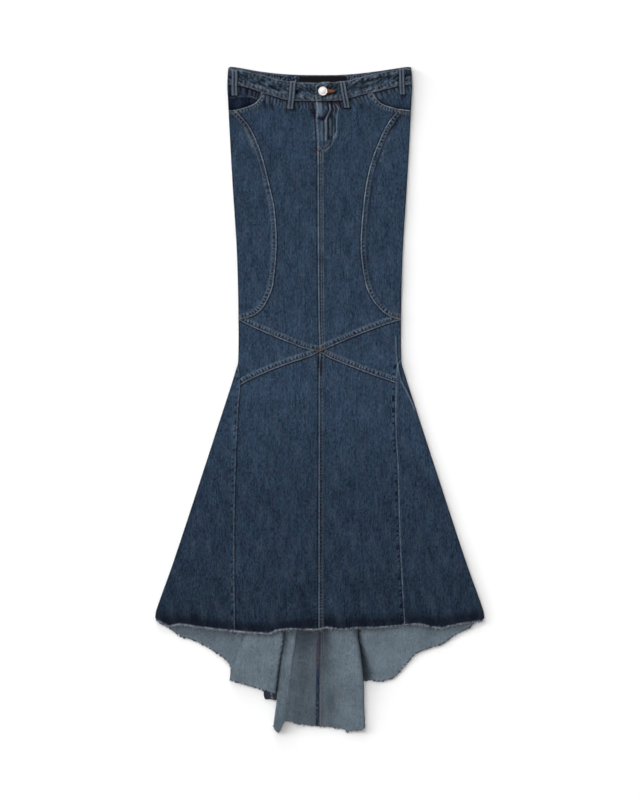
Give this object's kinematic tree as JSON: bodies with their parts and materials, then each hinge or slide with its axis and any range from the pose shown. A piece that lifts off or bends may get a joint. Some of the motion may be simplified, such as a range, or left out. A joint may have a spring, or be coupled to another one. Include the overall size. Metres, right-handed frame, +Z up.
{
  "type": "denim fishtail maxi skirt with train, laid flat",
  "caption": "Long denim skirt with a low waist, fitted hips, crossed knee seams and a flared train, laid flat and face up.",
  "frame": {"origin": "on the surface under the centre of the laid skirt's bounding box", "axes": "+Z up from the surface through the front, +Y along the skirt towards the waist, +X towards the wearer's left"},
  "size_m": [0.6586, 1.3319, 0.0111],
  "materials": {
    "denim": "washed indigo denim, twill face, matt",
    "denim_inside": "pale weft side of the same denim, matt",
    "label": "black woven patch, bare, matt",
    "button": "bright silvery metal, satin"
  },
  "bodies": {
    "root": {"waistband_front_right": "denim", "waistband_front_left": "denim", "waistband_back": "denim_inside", "waist_label": "label", "belt_loop_right_side": "denim", "belt_loop_right_front": "denim", "belt_loop_left_front": "denim", "belt_loop_left_side": "denim", "waist_button": "button", "pocket_facing_right": "denim", "pocket_facing_left": "denim", "front_upper_right": "denim", "front_upper_left": "denim", "side_panel_right": "denim", "side_panel_left": "denim", "knee_panel_right": "denim", "knee_panel_left": "denim", "flare_front_right": "denim", "flare_front_left": "denim", "gore_front_right": "denim", "gore_front_left": "denim", "back_upper_right": "denim_inside", "back_upper_left": "denim_inside", "back_gore_right": "denim_inside", "back_gore_left": "denim_inside", "back_flare_right": "denim_inside", "back_flare_left": "denim_inside"}
  },
  "joints": []
}
